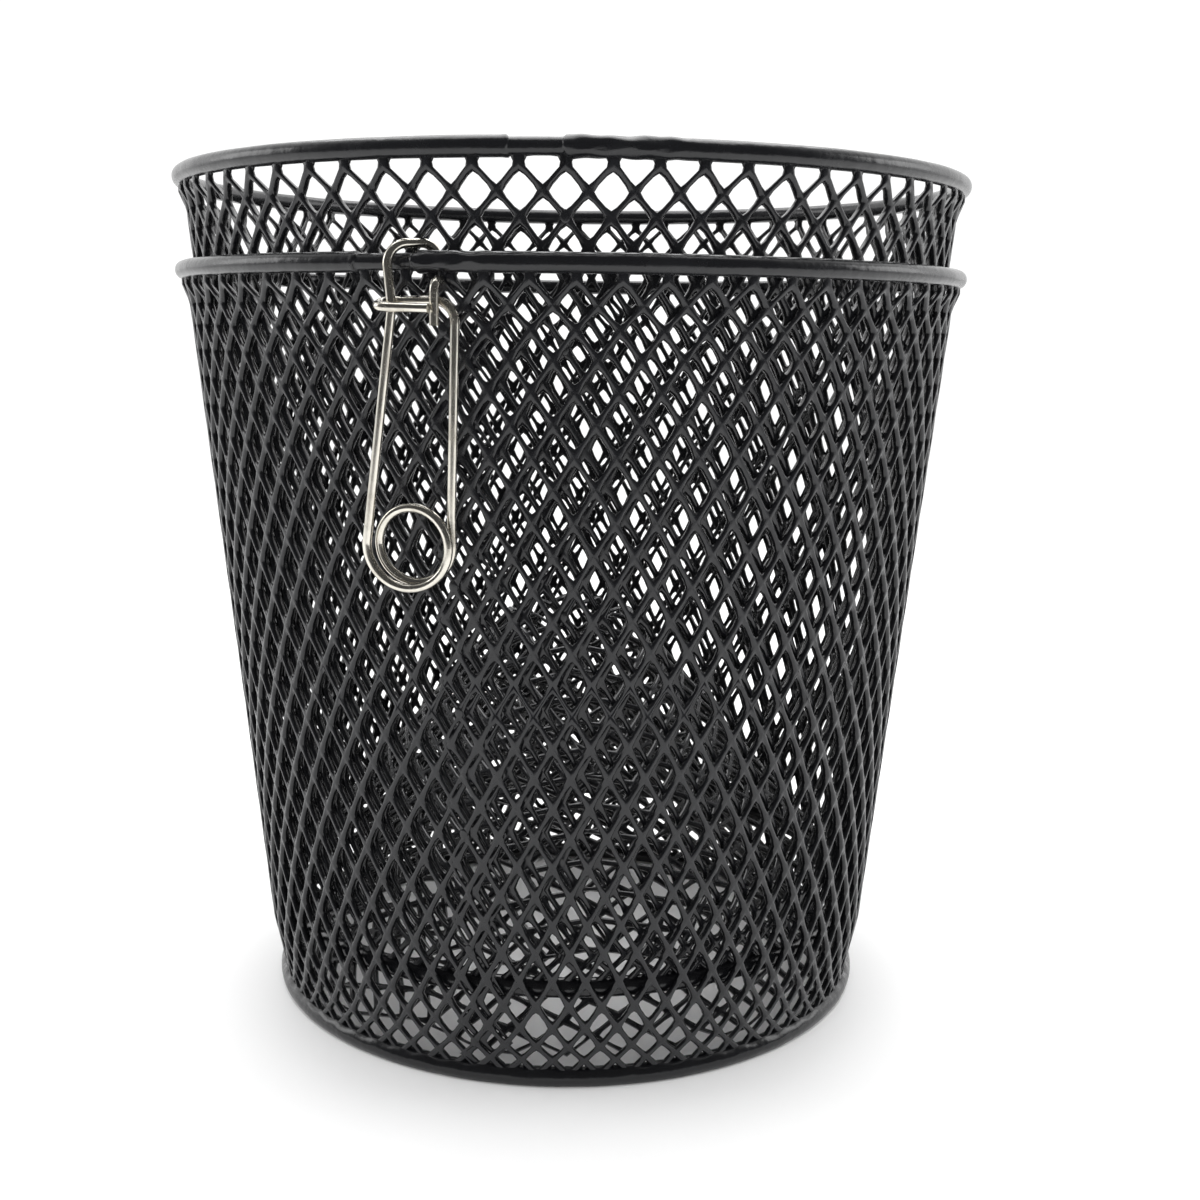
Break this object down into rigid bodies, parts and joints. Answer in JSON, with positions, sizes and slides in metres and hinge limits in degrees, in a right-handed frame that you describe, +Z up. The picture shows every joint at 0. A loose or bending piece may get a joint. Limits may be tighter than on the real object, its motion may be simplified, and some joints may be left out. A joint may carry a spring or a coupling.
{
  "type": "two-piece wire-mesh minnow and crawfish trap",
  "caption": "Two tapered black mesh cups with rolled rims and entry funnels, nested for storage, with a sprung wire clip hung on the outer rim.",
  "frame": {"origin": "centre of the base ring's underside, on the common axis of both halves", "axes": "+Z up along the common axis, out of the open mouth; -Y is the front, and the clip hangs 18.6 degrees from it towards -X"},
  "size_m": [0.2286, 0.2292, 0.2406],
  "materials": {
    "vinyl_mesh": "black vinyl dip over expanded steel strands, semi-gloss, pooled and rounded where strands cross",
    "vinyl_binding": "black vinyl dip over rolled sheet steel, satin with soft runs",
    "hoop_steel": "plain drawn steel wire, hidden inside the rolled bindings",
    "clip_steel": "bright drawn stainless spring wire with fine draw lines"
  },
  "bodies": {
    "outer_half": {"outer_wall_mesh": "vinyl_mesh", "outer_seam_welds": "vinyl_mesh", "outer_rim_hoop": "hoop_steel", "outer_rim_binding": "vinyl_binding", "outer_funnel_mesh": "vinyl_mesh", "outer_base_hoop": "hoop_steel", "outer_base_binding": "vinyl_binding"},
    "inner_half": {"inner_wall_mesh": "vinyl_mesh", "inner_seam_welds": "vinyl_mesh", "inner_rim_hoop": "hoop_steel", "inner_rim_binding": "vinyl_binding", "inner_funnel_mesh": "vinyl_mesh", "inner_base_hoop": "hoop_steel", "inner_base_binding": "vinyl_binding"},
    "clip_hook": {"clip_hook": "clip_steel"},
    "clip_latch": {"clip_latch": "clip_steel"}
  },
  "joints": [
    {"name": "nest_lift", "type": "slide", "parent": "outer_half", "child": "inner_half", "axis": [0, 0, 1], "range_m": [0, 0.2]},
    {"name": "clip_swing", "type": "hinge", "parent": "outer_half", "child": "clip_hook", "pos_m": [-0.03576, -0.10624, 0.2126], "axis": [-0.9478, 0.319, 0], "range_deg": [0, 40]},
    {"name": "clip_latch", "type": "hinge", "parent": "clip_hook", "child": "clip_latch", "pos_m": [-0.03732, -0.10305, 0.14671], "axis": [-0.3181, -0.9452, -0.0732], "range_deg": [0, 4.5], "stiffness_Nm_per_rad": 0.3, "springref_deg": -5.73}
  ]
}
